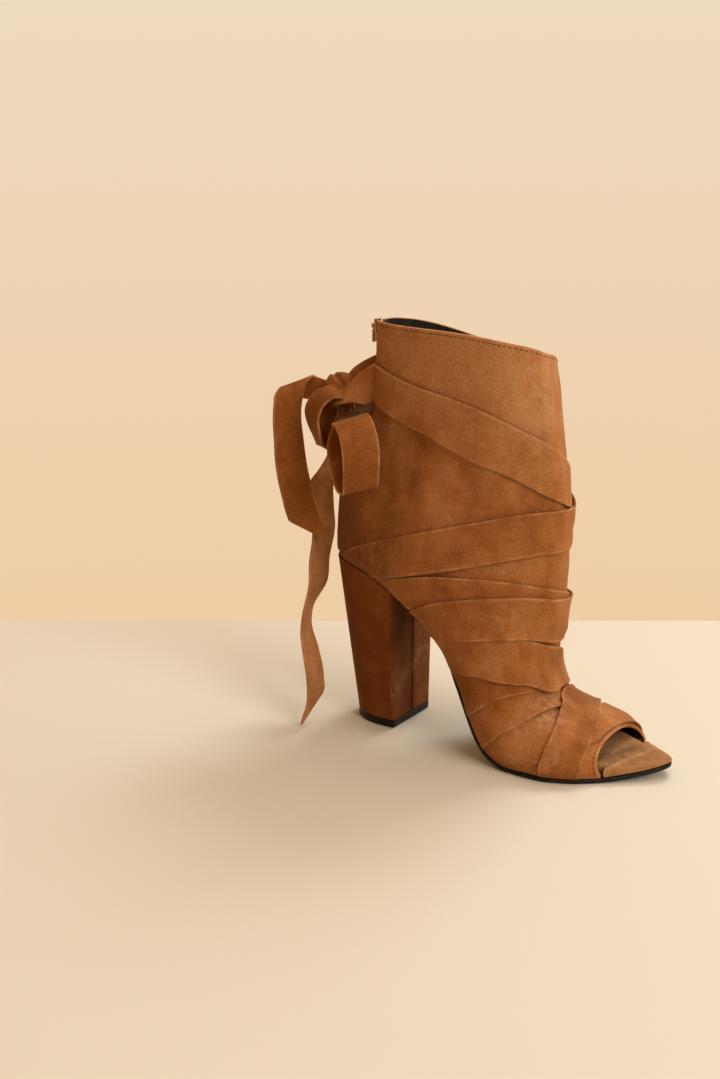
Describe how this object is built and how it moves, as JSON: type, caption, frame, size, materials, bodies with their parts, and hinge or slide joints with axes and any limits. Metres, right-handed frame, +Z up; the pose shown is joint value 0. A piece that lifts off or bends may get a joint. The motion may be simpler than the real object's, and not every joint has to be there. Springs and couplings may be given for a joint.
{
  "type": "strappy open toe bootie",
  "caption": "Suede ankle boot for the right foot with a peep toe, crossed wrap straps, a front flap, a back zip, a ribbon bow at the ankle and a tall covered block heel.",
  "frame": {"origin": "on the floor, below the middle of the boot's box without its bow", "axes": "+X to the toe, +Y to the inner side of the right foot, +Z up"},
  "size_m": [0.2502, 0.0938, 0.242],
  "materials": {
    "suede": "napped camel suede",
    "sole": "matt black",
    "tape": "woven black tape",
    "metal": "antique copper"
  },
  "bodies": {
    "boot": {"outsole": "sole", "heel_top_piece": "sole", "heel_block": "suede", "insole": "suede", "upper": "suede", "strap_toe_inner": "suede", "strap_vamp_low": "suede", "strap_vamp_mid": "suede", "strap_vamp_high": "suede", "strap_instep_low": "suede", "strap_toe_cross": "suede", "strap_instep_high": "suede", "strap_instep_mid": "suede", "ankle_tie_inner": "suede", "ankle_tie_outer": "suede", "bow_knot": "suede", "bow_loop_near": "suede", "bow_loop_far": "suede", "bow_tail_arched": "suede", "bow_tail_hanging": "suede", "zip_tape": "tape", "zip_slider": "metal"},
    "pull": {"zip_pull": "metal"}
  },
  "joints": [
    {"name": "pull_swing", "type": "hinge", "parent": "boot", "child": "pull", "pos_m": [-0.0845, 0, 0.238], "axis": [0, 1, 0], "range_deg": [0, 150]}
  ]
}
